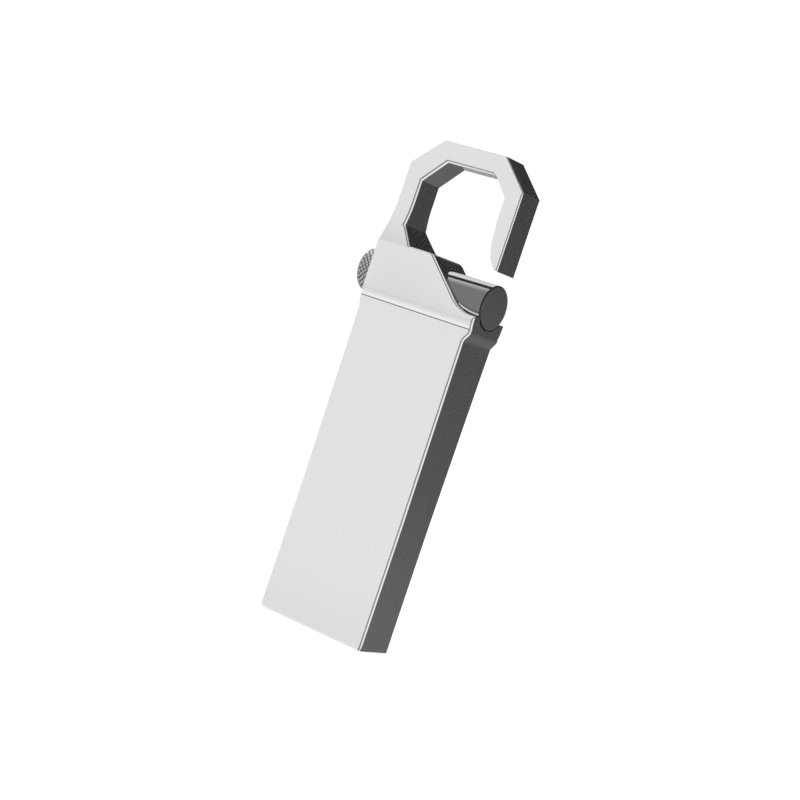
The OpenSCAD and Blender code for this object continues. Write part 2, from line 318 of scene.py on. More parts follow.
MATERIALS = {
    "plated_zinc": metal("plated_zinc", ZINC_GREY, "handling", 0.05, 2e-6, Roughness=0.24),
    "polished_steel": metal("polished_steel", BARREL_GREY, "turning", 0.04, 4e-7, Roughness=0.1),
    "knurled_steel": metal("knurled_steel", KNURL_GREY, "turning", 0.1, 2e-6, Roughness=0.3),
    "screw_steel": metal("screw_steel", (0.5, 0.5, 0.52), "turning", 0.3, 3e-6, Roughness=0.3),
    "spring_steel": metal("spring_steel", (0.5, 0.5, 0.52), "turning", 0.1, 1e-6, Roughness=0.3),
    "brass_washer": metal("brass_washer", (0.72, 0.53, 0.24), "turning", 0.2, 2e-6, Roughness=0.28),
    "gold_plate": metal("gold_plate", (0.9, 0.63, 0.25), "handling", 0.3, 2e-6, Roughness=0.22, Scratch=0.9),
    "black_plastic": solid("black_plastic", (0.02, 0.02, 0.022), "grain", 0.4, 6e-6, Roughness=0.6),
    "epoxy": solid("epoxy", (0.025, 0.025, 0.028), "grain", 0.5, 8e-6, Roughness=0.75),
    "solder_mask": solid("solder_mask", (0.01, 0.013, 0.012), "grain", 0.1, 3e-6, coat=0.4, Roughness=0.35),
    "adhesive": solid("adhesive", (0.7, 0.66, 0.5), "grain", 0.2, 3e-6, Roughness=0.5),
    "silicon": solid("silicon", (0.12, 0.12, 0.15), "grain", 0.02, 1e-6, coat=0.8, Roughness=0.15),
    "ceramic": solid("ceramic", (0.4, 0.28, 0.18), "grain", 0.2, 3e-6, Roughness=0.5),
    "resistor_black": solid("resistor_black", (0.03,) * 3, "grain", 0.1, 2e-6, coat=0.3, Roughness=0.4),
}

# painted shade on the plating: a dark line along the crease, and the foot and walls of the edge's step
paint_shade_where(MATERIALS["plated_zinc"], ZINC_GREY, (0.22,) * 3, painted_shade_mask)
# a painted highlight on the swell over the crease, and painted shade over it and at the foot of the draw-in
scaled_by_painted_light(MATERIALS["plated_zinc"])
# painted shade down in the knob's knurl grooves
paint_shade_where(MATERIALS["knurled_steel"], KNURL_GREY, (0.12,) * 3, painted_shade_mask)
# the barrel's side, a dark line of painted shade on the rim at its end, and a bright painted reflection tone
# over its flat end
painted_tones_along_x(MATERIALS["polished_steel"], 6.0, 6.6, [(6.15, BARREL_GREY[0]), (6.32, 0.03), (6.495, 0.85)])


def paint(piece, slot):
    """Gives a piece one of the materials, in place of any it had."""
    piece.data.materials.clear()
    piece.data.materials.append(MATERIALS[slot])


# ---------------------------------------------------------------- outlines, in millimetres

def ease(t):
    """A step from 0 to 1: half a cosine wave, flat at both ends."""
    return (1 - np.cos(np.pi * np.clip(t, 0, 1))) / 2


def eased_line(a, b, steps):
    """Points from a to b whose first coordinate eases over while the second goes evenly."""
    t = np.linspace(0, 1, steps + 1)
    return np.stack([a[0] + (b[0] - a[0]) * ease(t), a[1] + (b[1] - a[1]) * t], -1)


def ellipse_arc(centre, radii, start, stop, steps):
    """Points on an ellipse from one angle to another, in degrees."""
    a = np.radians(np.linspace(start, stop, steps + 1))
    return np.stack([centre[0] + radii[0] * np.cos(a), centre[1] + radii[1] * np.sin(a)], -1)


def softened(points, cut, steps=3):
    """A closed outline with rounded corners: each is cut back along both sides and bridged by a parabola."""
    points = np.asarray(points, float)
    ends = []
    for step in (1, -1):
        side = np.roll(points, step, 0) - points
        length = np.linalg.norm(side, axis=1)[:, None]
        ends.append(points + side * np.minimum(cut / length, 0.4))
    t = np.linspace(0, 1, steps + 1)[None, :, None]
    curve = (1 - t) ** 2 * ends[0][:, None] + 2 * t * (1 - t) * points[:, None] + t ** 2 * ends[1][:, None]
    return curve.reshape(-1, points.shape[1])


# ---------------------------------------------------------------- mesh helpers

def add_piece(name, mesh, slot, body, *stands_for):
    """Links a finished mesh as a piece, with its material, its body if it rides one, and its nodes."""
    piece = bpy.data.objects.new(name, mesh)
    bpy.context.scene.collection.objects.link(piece)
    paint(piece, slot)
    if body:
        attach(piece, body)
    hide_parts(*stands_for)
    return piece


def polygon_mesh(name, points, faces):
    """A mesh from an array of points and lists of faces, all of one length per list."""
    mesh = bpy.data.meshes.new(name)
    loops = np.concatenate([np.asarray(group).reshape(-1) for group in faces])
    lengths = np.concatenate([np.full(len(group), len(group[0])) for group in faces])
    mesh.vertices.add(len(points))
    mesh.vertices.foreach_set("co", np.asarray(points, np.float32).reshape(-1))
    mesh.loops.add(len(loops))
    mesh.loops.foreach_set("vertex_index", loops.astype(np.int32))
    mesh.polygons.add(len(lengths))
    starts = np.concatenate([[0], np.cumsum(lengths)[:-1]])
    mesh.polygons.foreach_set("loop_start", starts.astype(np.int32))
    mesh.update(calc_edges=True)
    mesh.validate()
    return mesh


def grid_quads(nu, nv, close_u, close_v):
    """Corner indices of the quads of a grid of nu by nv points, with either direction joined end to start."""
    u, v = np.meshgrid(np.arange(nu - (not close_u)), np.arange(nv - (not close_v)), indexing="ij")
    un, vn = (u + 1) % nu, (v + 1) % nv
    return np.stack([u * nv + v, un * nv + v, un * nv + vn, u * nv + vn], -1).reshape(-1, 4)


def closed_shell(mesh, weld=1e-6):
    """Welds doubles, cuts every face into triangles and turns them all outwards."""
    work = bmesh.new()
    work.from_mesh(mesh)
    bmesh.ops.remove_doubles(work, verts=work.verts, dist=weld)
    bmesh.ops.dissolve_degenerate(work, edges=work.edges, dist=weld)
    bmesh.ops.triangulate(work, faces=work.faces)
    bmesh.ops.recalc_face_normals(work, faces=work.faces)
    work.to_mesh(mesh)
    work.free()
    mesh.update()
    return mesh


def read(items, label, width, kind=float):
    """One attribute of a mesh's items as an array with width columns."""
    values = np.empty(len(items) * width, kind)
    items.foreach_get(label, values)
    return values.reshape(-1, width)


def even_normals(mesh, limit=25.0, exact=None):
    """Gives a mesh of triangles its corner normals.

    Each is the mean of the face normals round its vertex that lie within limit degrees of its own
    face's, weighted by the angle each face makes there; exact may put other normals in their place.
    """
    place = read(mesh.vertices, "co", 3)
    corner = read(mesh.loops, "vertex_index", 1, np.int32).reshape(-1, 3)
    points = place[corner]
    across = np.cross(points[:, 1] - points[:, 0], points[:, 2] - points[:, 0])
    facing = across / np.maximum(np.linalg.norm(across, axis=1), 1e-20)[:, None]
    ahead, back = np.roll(points, -1, 1) - points, np.roll(points, 1, 1) - points
    spread = np.linalg.norm(ahead, axis=2) * np.linalg.norm(back, axis=2)
    opening = np.arccos(np.clip((ahead * back).sum(2) / np.maximum(spread, 1e-20), -1, 1)).reshape(-1)
    vertex = corner.reshape(-1)
    face = np.repeat(np.arange(len(corner)), 3)
    order = np.argsort(vertex, kind="stable")
    count = np.bincount(vertex, minlength=len(place))
    first = np.concatenate([[0], np.cumsum(count)[:-1]])
    fan = count[vertex[order]]
    own = np.repeat(np.arange(len(order)), fan)
    step = np.arange(len(own)) - np.repeat(np.cumsum(fan) - fan, fan)
    other = np.repeat(first[vertex[order]], fan) + step
    mine, theirs = face[order][own], face[order][other]
    near = (facing[mine] * facing[theirs]).sum(1) > math.cos(math.radians(limit))
    weight = opening[order][other] * near
    total = np.stack([np.bincount(own, facing[theirs][:, k] * weight, len(order)) for k in range(3)], -1)
    normals = np.empty_like(total)
    normals[order] = total / np.maximum(np.linalg.norm(total, axis=1), 1e-20)[:, None]
    if exact is not None:
        normals = exact(points, facing, normals.reshape(-1, 3, 3)).reshape(-1, 3)
    mesh.shade_smooth()
    mesh.normals_split_custom_set(normals)
    return mesh


def in_metres(mesh):
    """The mesh, scaled from millimetres to metres."""
    mesh.transform(Matrix.Scale(MM, 4))
    return mesh


def bar_stock(name, outline, place):
    """A cutter: a closed outline carried from one end to the other; place(outline, end) gives its points."""
    n = len(outline)
    points = np.stack([place(outline, end) for end in (0, 1)])
    caps = [np.arange(n), np.arange(n) + n]
    return closed_shell(polygon_mesh(name, points.reshape(-1, 3), [grid_quads(2, n, False, True), caps]))


def along_x(radius, x0, x1):
    """A round bar about the gate's axis between two stations."""
    circle = ellipse_arc((0, 0), (radius, radius), 0, 360, 160)[:-1]
    return bar_stock("bore", circle, lambda o, end: np.stack(
        [np.full(len(o), x1 if end else x0), o[:, 0], o[:, 1] + GATE_Z], -1))


def cut_away(mesh, cutters):
    """The mesh less each cutter in turn, by exact booleans."""
    scene = bpy.context.scene
    block = bpy.data.objects.new("block", mesh)
    scene.collection.objects.link(block)
    spare = [block]
    for number, cutter in enumerate(cutters):
        tool = bpy.data.objects.new("cutter", cutter)
        scene.collection.objects.link(tool)
        spare.append(tool)
        cut = block.modifiers.new(f"cut_{number}", "BOOLEAN")
        cut.operation = "DIFFERENCE"
        cut.solver = "EXACT"
        cut.object = tool
    bpy.context.view_layer.update()
    result = bpy.data.meshes.new_from_object(block.evaluated_get(bpy.context.evaluated_depsgraph_get()))
    for item in spare:
        bpy.data.objects.remove(item)
    return result


def turned(name, outline, slot, body, *stands_for, segments=160, relief=None, cut=0.06, limit=25.0):
    """A piece turned about the gate's axis.

    The outline is a closed line of [x, radius] points; each becomes a circle of segments points, and
    relief(x, angle, radius) may change its radius. Corners are softened by cut.
    """
    outline = softened(outline, cut) if cut else np.asarray(outline, float)
    angle = np.linspace(0, 2 * np.pi, segments, endpoint=False)[None, :]
    x = np.repeat(outline[:, :1], segments, 1)
    radius = np.maximum(np.repeat(outline[:, 1:], segments, 1), 0)
    if relief:
        radius = relief(x, angle, radius)
    points = np.stack([x, radius * np.cos(angle), radius * np.sin(angle) + GATE_Z], -1).reshape(-1, 3)
    mesh = polygon_mesh(name, points, [grid_quads(len(outline), segments, True, True)])
    return add_piece(name, in_metres(even_normals(closed_shell(mesh), limit)), slot, body, *stands_for)


# ---------------------------------------------------------------- casting

BAR_HALF, HEAD_LEFT, HEAD_RIGHT = 6.0, -6.25, 6.45
PLUG_THICK, BAR_THICK, HEAD_THICK, HOOK_THICK = 2.25, 2.5, 2.6, 1.6
PLUG_Z = 12.0
FLARE_LOW, FLARE_HIGH = 29.0, 30.0
DIP, DIP_Z, CREASE_Z, SWELL_Z = 0.05, 29.35, 30.25, 31.1
GROOVE_HALF, GROOVE_DEEP = 0.055, 0.03
GROOVE_LEVELS = CREASE_Z + GROOVE_HALF * np.array([-1, -0.5, 0, 0.5, 1])
TAPER_LOW, TAPER_HIGH = 35.5, 39.6
SWELL_POWER, TAPER_POWER = 2.3, 1.76
ROOF_Z, ROOF_CURVE, ROOF_TURN, ROOF_LEFT = 35.7, 0.9, -0.35, -2.75
CRADLE_Z, SPINE_X, SPINE_LOW = 31.5, -4.42, 37.5
SWEEP_CENTRE, SWEEP_RADII = (6.1, 38.5), np.array([4.9, 7.0])
HOOK_TOP, CORNER_Z, TOP_LEFT, TOP_RIGHT = 45.9, 43.2, -3.35, 3.6
EYE_TOP, EYE_RIGHT, LEG_X, LEG_LOW = 44.0, 3.15, 4.75, 40.2
TIP_Z, TIP_CENTRE_Z = 35.85, 39.4
# the open leg of the hook is what lies right of this and over this
LEG_SIDE, LEG_OVER = 3, 35
CAVITY_HALF_W, CAVITY_HALF_T, CAVITY_CORNER, CAVITY_Z = 5.7, 1.95, 0.3, 28.0

# the gate along X at rest, and its radii
WEB_LEFT, WEB_RIGHT = -4.4, -3.6
SKIRT_X, POCKET_X, BARREL_X1 = -0.4, 1.4, 6.5
KNOB_X0, KNOB_X1, SEAT_X = -8.0, -4.42, -6.6
BORE, STEM_BORE = 2.15, 1.25
BARREL, POCKET, STEM, SEAT = 2.1, 1.75, 1.15, 0.85

# how the edge of the front and back faces is cut, as [in from the outline, down from the face]
STEPPED_EDGE = (
    (0.23, 0.0), (0.22, 0.012), (0.215, 0.13), (0.145, 0.13), (0.14, 0.11), (0.06, 0.11), (0.0, 0.17))


def half_thickness(x, z):
    """Half the thickness at a place.

    The plug's, plus an even rise to the bar's top, less a shallow dip below the crease and a V groove
    along it, plus a swell and less a draw-in to the hook's, both of which start at a slant and fade
    out as a power of the way left. The hook's open leg is flat.
    """
    rise = (BAR_THICK - PLUG_THICK) * np.clip((z - PLUG_Z) / (DIP_Z - PLUG_Z), 0, 1)
    groove = GROOVE_DEEP * np.clip(1 - abs(z - CREASE_Z) / GROOVE_HALF, 0, 1)
    dip = DIP * np.clip((z - DIP_Z) / (CREASE_Z - DIP_Z), 0, 1)
    to_swell = 1 - np.clip((z - CREASE_Z) / (SWELL_Z - CREASE_Z), 0, 1)
    swell = (HEAD_THICK - BAR_THICK + DIP) * (1 - to_swell ** SWELL_POWER)
    to_hook = 1 - np.clip((z - TAPER_LOW) / (TAPER_HIGH - TAPER_LOW), 0, 1)
    taper = (HEAD_THICK - HOOK_THICK) * (1 - to_hook ** TAPER_POWER)
    on_leg = (x > LEG_SIDE) & (z > LEG_OVER)
    return np.where(on_leg, HOOK_THICK, PLUG_THICK + rise - dip + swell - taper - groove)


def side_line(edge):
    """One side of the bar and of the head's flare, up to the crease, where the head's side stands at edge."""
    bar = math.copysign(BAR_HALF, edge)
    flare = eased_line((bar, FLARE_LOW), (edge, FLARE_HIGH), 16)
    crease = np.stack([np.full(len(GROOVE_LEVELS), edge), GROOVE_LEVELS], -1)
    return np.vstack([[[bar, 0], [bar, PLUG_Z]], flare, crease])


def outline_lines():
    """The casting's front outline as lines that meet at sharp corners, anticlockwise from its low left.

    Each comes with how much of the stepped edge's full width it has at its start and at its end.
    """
    sweep = ellipse_arc(SWEEP_CENTRE, SWEEP_RADII, 270, 238, 48)
    roof = ellipse_arc((ROOF_TURN, ROOF_Z - ROOF_CURVE), (ROOF_CURVE, ROOF_CURVE), 48, 90, 12)
    tip_radii = (HEAD_RIGHT - LEG_X - 0.1, TIP_CENTRE_Z - TIP_Z)
    tip = ellipse_arc((HEAD_RIGHT, TIP_CENTRE_Z), tip_radii, 180, 257, 40)
    lip, roof_end, spine_foot = (HEAD_RIGHT, CRADLE_Z), (ROOF_LEFT, ROOF_Z), (SPINE_X, SPINE_LOW)
    spine_top, eye_left, eye_right = (SPINE_X, EYE_TOP - 2.2), (SPINE_X + 2.1, EYE_TOP), (EYE_RIGHT, EYE_TOP)
    leg_top, leg_low, tip_end = (LEG_X, EYE_TOP - 1.75), (LEG_X, LEG_LOW), (HEAD_RIGHT, TIP_Z)
    right_corner, left_corner = (HEAD_RIGHT, CORNER_Z), (HEAD_LEFT, CORNER_Z)
    top_right, top_left = (TOP_RIGHT, HOOK_TOP), (TOP_LEFT, HOOK_TOP)
    lines = [
        (1, 1, [(-BAR_HALF, 0), (BAR_HALF, 0)]),
        (1, 1, [*side_line(HEAD_RIGHT), lip]),
        (0.3, 0.7, [lip, *sweep, roof[0]]),
        (0.7, 0.15, [*roof, roof_end]),
        (0.6, 0.6, [roof_end, spine_foot]),
        (1, 1, [spine_foot, spine_top]),
        (1.1, 1.1, [spine_top, eye_left]),
        (1.1, 1, [eye_left, eye_right]),
        (0.25, 0.25, [eye_right, leg_top]),
        (0.25, 0.25, [leg_top, leg_low, *tip, tip_end]),
        (0.6, 0.6, [tip_end, right_corner]),
        (0.3, 0.3, [right_corner, top_right]),
        (0.25, 0.25, [top_right, top_left]),
        (0.25, 0.25, [top_left, left_corner]),
        (0.25, 0.25, [left_corner, (HEAD_LEFT, TAPER_LOW), *side_line(HEAD_LEFT)[::-1]]),
    ]
    return [(first, last, np.array(line, float)) for first, last, line in lines]


def outline_points():
    """The whole outline with extra points wherever the thickness changes, and its inward offset directions.

    A point's direction is the sum of its two sides' inward normals over one plus their product, so that
    moving it by a distance moves both sides by that distance, times the line's share of the edge's
    width. The plug's end face isn't moved in.
    """
    pieces, shares = [], []
    for first, last, line in outline_lines():
        sides = len(line) - 1
        for number, (a, b) in enumerate(zip(line[:-1], line[1:])):
            length = np.linalg.norm(b - a)
            low, high = min(a[1], b[1]), max(a[1], b[1])
            busy = high > DIP_Z and low < TAPER_HIGH and high - low > 0.5 * length
            edge_zone = 0.3 / length
            t = np.zeros(1)
            if length > 0.8:
                steps = max(int(length / 0.15), 2) if busy else 2
                t = np.concatenate([[0], np.linspace(edge_zone, 1 - edge_zone, steps)])
            pieces.append(a + (b - a) * t[:, None])
            shares.append(first + (last - first) * (number + t) / sides)
    points, share = np.vstack(pieces), np.concatenate(shares)
    side = np.roll(points, -1, 0) - points
    side /= np.linalg.norm(side, axis=1)[:, None]
    inward = np.stack([-side[:, 1], side[:, 0]], -1)
    inward[(points[:, 1] < 1e-9) & (side[:, 0] > 0.5)] = 0
    before = np.roll(inward, 1, 0)
    move = (inward + before) / (1 + (inward * before).sum(1))[:, None]
    return points, share[:, None] * move


def face_filling(ring):
    """Triangles that fill a face's edge ring, with inner points where the face is curved.

    The inner points are a plain grid kept 0.12 mm clear of the ring; lines of edges are forced where the
    plug ends, along the crease and where the draw-in starts. Returns the points (the ring first) and
    the triangles.
    """
    bands = [(DIP_Z - 0.1, SWELL_Z + 0.1, 0.07, 0.4), (TAPER_LOW + 0.08, TAPER_HIGH + 0.3, 0.12, 0.4)]
    clouds = []
    for low, high, dz, dx in bands:
        x, z = np.meshgrid(np.arange(-6.3, 6.3, dx), np.arange(low, high, dz))
        clouds.append(np.stack([x.ravel(), z.ravel()], -1))
    cloud = np.vstack(clouds)
    a, b = ring[None], np.roll(ring, -1, 0)[None]
    p = cloud[:, None]
    crosses = (a[..., 1] > p[..., 1]) != (b[..., 1] > p[..., 1])
    rise = np.where(b[..., 1] == a[..., 1], 1, b[..., 1] - a[..., 1])
    at = a[..., 0] + (p[..., 1] - a[..., 1]) / rise * (b[..., 0] - a[..., 0])
    inside = (crosses & (p[..., 0] < at)).sum(1) % 2 == 1
    along = np.clip(((p - a) * (b - a)).sum(2) / np.maximum(((b - a) ** 2).sum(2), 1e-12), 0, 1)
    gap = np.linalg.norm(p - a - along[..., None] * (b - a), axis=2).min(1)
    clear = abs(cloud[:, 1] - CREASE_Z) > GROOVE_HALF + 0.03
    cloud = cloud[inside & (gap > 0.12) & clear]
    n = len(ring)
    row = np.arange(HEAD_LEFT + 0.15, -0.9, 0.2)
    cloud = np.vstack([np.stack([row, np.full(len(row), TAPER_LOW)], -1), cloud])
    edges = [(i, (i + 1) % n) for i in range(n)] + [(n + i, n + i + 1) for i in range(len(row) - 1)]
    for level in (PLUG_Z, *GROOVE_LEVELS):
        ends = np.flatnonzero(abs(ring[:, 1] - level) < 1e-6)
        edges.append((int(ends[0]), int(ends[-1])))
    flat = [Vector(p) for p in np.vstack([ring, cloud])]
    places, _, faces, origins, _, _ = delaunay_2d_cdt(flat, edges, [], 1, 1e-7)
    wanted = np.array([min(source) if source else -1 for source in origins])
    places = np.array([tuple(p) for p in places])
    faces = np.array([f for f in faces if len(f) == 3])
    extra = np.flatnonzero(wanted < 0)
    wanted[extra] = len(flat) + np.arange(len(extra))
    full = np.vstack([ring, cloud, places[extra]])
    return full, wanted[faces]


def face_normals_kept(points, facing, normals):
    """Exact normals for the front and back faces, from the slope of the thickness on each triangle's side."""
    centre = points.mean(1, keepdims=True)
    height = half_thickness(centre[..., 0], centre[..., 2])[..., 0]
    on_face = (abs(facing[:, 1]) > 0.75) & (abs(abs(centre[:, 0, 1]) - height) < 0.006)
    z = points[..., 2] + np.clip(0.3 * (centre[..., 2] - points[..., 2]), -0.01, 0.01)
    small = 0.001
    above, below = (half_thickness(points[..., 0], z + step) for step in (small, -small))
    slope = (above - below) / (2 * small)
    front = np.where(centre[..., 1] < 0, -1.0, 1.0)
    true = np.stack([np.zeros_like(slope), front + 0 * slope, -slope], -1)
    true /= np.linalg.norm(true, axis=2)[..., None]
    return np.where(on_face[:, None, None], true, normals)


def mark_painted_light_and_shade(mesh):
    """Two values that the plating's colour follows, both painted light and shade.

    The face value, recess, is painted shade: a dark line along the crease, the foot of the edge's step and
    its wall unless it faces +X. The point value is a painted highlight on the swell that falls off as an
    exponential of the height above the crease, less a bell-shaped band of painted shade over it and a
    patch of painted shade at the foot of the draw-in.
    """
    place = read(mesh.vertices, "co", 3)
    centre = place[read(mesh.loops, "vertex_index", 1, np.int32).reshape(-1, 3)].mean(1)
    facing = read(mesh.polygons, "normal", 3)
    down = half_thickness(centre[:, 0], centre[:, 2]) - abs(centre[:, 1])
    deep = STEPPED_EDGE[2][1]
    wall = (abs(facing[:, 1]) < 0.5) & (down > 0.005) & (down < deep + 0.005)
    foot = (abs(facing[:, 1]) > 0.9) & (abs(down - deep) < 0.008)
    crease = (abs(centre[:, 2] - CREASE_Z) < GROOVE_HALF) & (abs(down) < 0.01)
    crease = 0.75 * crease * np.clip((centre[:, 0] - HEAD_LEFT - 0.4) / 0.2, 0, 1)
    value = np.maximum(crease, np.maximum(0.8 * foot, wall * np.clip(1 - facing[:, 0], 0, 1)))
    mesh.attributes.new("recess", "FLOAT", "FACE").data.foreach_set("value", value.astype(np.float32))
    # painted highlight on the swell over the crease, less painted shade in a band over it and at the foot of
    # the draw-in
    up = place[:, 2] - CREASE_Z
    swell = np.where(up > 0, 0.26 * np.exp(-up / 0.2) - 0.13 * np.exp(-((up - 0.68) / 0.28) ** 2), 0)
    over = np.clip((place[:, 2] - TAPER_LOW) / (TAPER_HIGH - TAPER_LOW), 0, 1)
    foot_of_taper = np.where((over > 0) & (place[:, 0] < LEG_SIDE), 0.1 * (1 - over) ** 2, 0)
    flat = (half_thickness(place[:, 0], place[:, 2]) - abs(place[:, 1])) < 0.01
    painted_light = (swell - foot_of_taper) * flat
    mesh.attributes.new("painted_light", "FLOAT", "POINT").data.foreach_set("value", painted_light.astype(np.float32))


def casting():
    """The casting: its edge section carried round the outline, two filled faces, and bores cut through."""
    points, move = outline_points()
    section = [(-1, s, d) for s, d in STEPPED_EDGE] + [(1, s, d) for s, d in STEPPED_EDGE[::-1]]
    rings = []
    for side, inset, down in section:
        flat = points + move * inset
        y = side * (half_thickness(flat[:, 0], flat[:, 1]) - down)
        rings.append(np.stack([flat[:, 0], y, flat[:, 1]], -1))
    n = len(points)
    all_points = [np.vstack(rings)]
    faces = [grid_quads(len(rings), n, False, True)]
    filled, triangles = face_filling(points + move * STEPPED_EDGE[0][0])
    inner = filled[n:]
    offset = len(rings) * n
    for side, first in ((-1, 0), (1, (len(rings) - 1) * n)):
        y = side * half_thickness(inner[:, 0], inner[:, 1])
        all_points.append(np.stack([inner[:, 0], y, inner[:, 1]], -1))
        faces.append(np.where(triangles < n, triangles + first, triangles - n + offset))
        offset += len(inner)
    mesh = closed_shell(polygon_mesh("casting", np.vstack(all_points), faces))
    w, t = CAVITY_HALF_W, CAVITY_HALF_T
    mouth = softened([(-w, -t), (w, -t), (w, t), (-w, t)], CAVITY_CORNER, 6)
    cavity = bar_stock("cavity", mouth, lambda o, end: np.stack(
        [o[:, 0], o[:, 1], np.full(len(o), CAVITY_Z if end else -1.0)], -1))
    mesh = cut_away(mesh, [
        cavity, along_x(BORE, WEB_RIGHT, 20), along_x(BORE, -20, WEB_LEFT), along_x(STEM_BORE, -8, 0)])
    even_normals(closed_shell(mesh, 2e-5), 25, face_normals_kept)
    mark_painted_light_and_shade(mesh)
    return add_piece("casting", in_metres(mesh), "plated_zinc", "drive", "hook_body")


# ---------------------------------------------------------------- gate

def gate():
    """The turned pieces of the gate: polished barrel, knurled knob, its screw and the washer."""
    rim, face_ring, screw, screw_end = 0.1, 0.06, 0.49, -5.2
    turned("barrel", [
        (BARREL_X1, 0), (BARREL_X1, face_ring), (BARREL_X1, BARREL - 0.15), (BARREL_X1, BARREL - 0.09),
        (BARREL_X1 - rim, BARREL), (SKIRT_X, BARREL), (SKIRT_X, POCKET), (POCKET_X, POCKET), (POCKET_X, STEM),
        (KNOB_X1, STEM), (KNOB_X1, SEAT), (SEAT_X, SEAT), (SEAT_X, screw),
        (screw_end, screw), (screw_end, 0)],
        "polished_steel", "gate", "gate_barrel", cut=0.015)
    radius, chamfer, groove_depth = 2.05, 0.22, 0.1
    recess_x, recess, screw_bore = KNOB_X0 + 0.75, STEM, 0.53
    rows = np.linspace(KNOB_X0 + 0.3, KNOB_X1 - 0.3, 73)
    left_edge = [(KNOB_X0, recess), (KNOB_X0, radius - chamfer), (KNOB_X0 + chamfer, radius)]
    outline = np.vstack([
        softened(left_edge, 0.05)[3:-3],
        np.stack([rows, np.full(len(rows), radius)], -1),
        [(KNOB_X1 - 0.2, radius), (KNOB_X1, radius - 0.2), (KNOB_X1, SEAT + 0.01), (SEAT_X, SEAT + 0.01),
         (SEAT_X, screw_bore), (recess_x, screw_bore), (recess_x, recess), (KNOB_X0 + 0.06, recess),
         (KNOB_X0, recess + 0.06)]])

    def knurl(x, angle, r):
        """Two crossing families of V grooves, each a triangle wave of the angle plus or minus x."""
        starts, lead = 27, 0.46
        waves = [abs((starts * angle / (2 * np.pi) + sign * x / lead) % 1 - 0.5) * 2 for sign in (-1, 1)]
        groove = np.clip(1 - np.minimum(*waves) / 0.55, 0, 1)
        return r - groove_depth * groove * (r > radius - 0.01)

    knob = turned("knob", outline, "knurled_steel", "gate", "knurled_knob",
                  segments=324, relief=knurl, cut=0, limit=20)
    # painted shade: the knob is darker the deeper down its knurl grooves
    place = read(knob.data.vertices, "co", 3) / MM
    spin = np.hypot(place[:, 1], place[:, 2] - GATE_Z)
    deep = np.clip((radius - spin) / groove_depth, 0, 1) * (spin > radius - groove_depth - 0.01)
    knob.data.attributes.new("recess", "FLOAT", "POINT").data.foreach_set("value", deep.astype(np.float32))
    low, high = POCKET_X - 0.2, POCKET_X - 0.01
    turned("washer", [(low, 1.2), (high, 1.2), (high, 1.7), (low, 1.7)],
           "brass_washer", "gate_slide", "thrust_washer", segments=96, cut=0.04)


def return_spring():
    """Round wire on a helix, its end turns closed."""
    x0, x1, wire, turns, radius = WEB_RIGHT, POCKET_X - 0.2, 0.28, 5.0, (STEM + POCKET) / 2
    steps, sides = 48, 12
    t = np.linspace(0, turns, int(turns * steps) + 1)
    low, high = x0 + wire / 2 + 0.01, x1 - wire / 2 - 0.01
    closed = wire + 0.01
    x = np.interp(t, [0, 1, turns - 1, turns], [low, low + closed, high - closed, high])[:, None]
    q = np.linspace(0, 2 * np.pi, sides, endpoint=False)[None, :]
    r = radius + wire / 2 * np.cos(q)
    a = 2 * np.pi * t[:, None]
    points = np.stack([x + wire / 2 * np.sin(q), r * np.cos(a), r * np.sin(a) + GATE_Z], -1)
    ends = [np.arange(sides), np.arange(sides) + sides * (len(t) - 1)]
    mesh = polygon_mesh("spring", points.reshape(-1, 3), [grid_quads(len(t), sides, False, True), ends])
    piece = add_piece("spring", in_metres(even_normals(closed_shell(mesh), 40)), "spring_steel", None,
                      "return_spring")
    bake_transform(piece)


def ease_edges(node, width):
    """Breaks the sharp edges of a CAD node that stays, after its triangles are welded."""
    piece = NODES[node]
    weld = piece.modifiers.new("weld", "WELD")
    weld.merge_threshold = 1e-7
    bevel = piece.modifiers.new("broken_edges", "BEVEL")
    bevel.limit_method = "ANGLE"
    bevel.angle_limit = math.radians(35)
    bevel.width = width * MM
    bevel.segments = 2


# ---------------------------------------------------------------- light and floor

def stage_piece(name, mesh, material, seen=False):
    """Links a stage piece; unless seen, only mirror-like reflections find it."""
    piece = bpy.data.objects.new(name, mesh)
    bpy.context.scene.collection.objects.link(piece)
    piece.data.materials.append(material)
    piece.visible_camera = piece.visible_diffuse = piece.visible_shadow = seen
    return piece


def card_material():
    """A light-giving card whose strength is its mesh's own value, tone."""
    material = bpy.data.materials.new("card")
    material.use_nodes = True
    tree = material.node_tree
    tree.nodes.clear()
    out = tree.nodes.new("ShaderNodeOutputMaterial")
    light = tree.nodes.new("ShaderNodeEmission")
    tree.links.new(mesh_value(tree, "tone"), light.inputs["Strength"])
    tree.links.new(light.outputs[0], out.inputs["Surface"])
    return material


CARD = card_material()


def card(name, rows):
    """A card from one row to the next; each row is its two ends, in metres, and its tone."""
    ends = np.array([(tuple(first), tuple(second)) for first, second, _ in rows])
    mesh = polygon_mesh(name, ends.reshape(-1, 3), [grid_quads(len(rows), 2, False, False)])
    tones = np.repeat([tone for _, _, tone in rows], 2).astype(np.float32)
    mesh.attributes.new("tone", "FLOAT", "POINT").data.foreach_set("value", tones)
    return stage_piece(name, mesh, CARD)


def floor_card(name, x0, x1, rows):
    """A card just over the floor between two stations in X; rows are (y, tone)."""
    z = 0.00002
    return card(name, [((x0, y, z), (x1, y, z), tone) for y, tone in rows])


def upright_card(name, azimuth, distance, left, right, rows):
    """An upright card round the drive: azimuth 0 is along +Y and grows towards +X; rows are (z, tone)."""
    a = math.radians(azimuth)
    out = np.array([math.sin(a), math.cos(a)]) * distance
    across = np.array([math.cos(a), -math.sin(a)])
    return card(name, [((*(out + left * across), z), (*(out + right * across), z), tone) for z, tone in rows])


